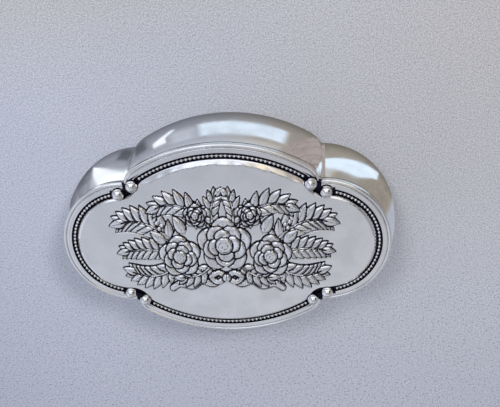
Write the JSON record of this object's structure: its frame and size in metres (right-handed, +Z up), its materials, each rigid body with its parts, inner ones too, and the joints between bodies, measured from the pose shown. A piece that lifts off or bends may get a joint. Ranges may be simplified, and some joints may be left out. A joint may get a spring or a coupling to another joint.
{
  "type": "trinket box",
  "caption": "Polished silver quatrefoil trinket box with bulging sides and a lift-off cover, beaded border, balls at the creases and raised roses on its panel.",
  "frame": {"origin": "middle of the underside of the base plate, on the surface the box stands on", "axes": "+X along the long side, +Y towards the back lobe, +Z up through the cover"},
  "size_m": [0.1104, 0.071, 0.0368],
  "materials": {
    "silver": "polished, with dark oxide in the recesses",
    "velvet": "matt pile",
    "card": "matt"
  },
  "bodies": {
    "box": {"box_wall": "silver", "base_plate": "silver", "floor_lining_board": "card", "floor_lining_pad": "velvet", "side_lining_strip": "velvet"},
    "cover": {"cover_shell": "silver", "cover_bezel": "silver", "bead_wire_back": "silver", "bead_wire_front": "silver", "bead_wire_right": "silver", "bead_wire_left": "silver", "ball_back_right_inner": "silver", "ball_back_right_outer": "silver", "ball_front_right_inner": "silver", "ball_front_right_outer": "silver", "ball_back_left_inner": "silver", "ball_back_left_outer": "silver", "ball_front_left_inner": "silver", "ball_front_left_outer": "silver", "cover_lining_board": "card", "cover_lining_pad": "velvet"}
  },
  "joints": [
    {"name": "cover_lift", "type": "slide", "parent": "box", "child": "cover", "axis": [0, 0, 1], "range_m": [0, 0.06]}
  ]
}
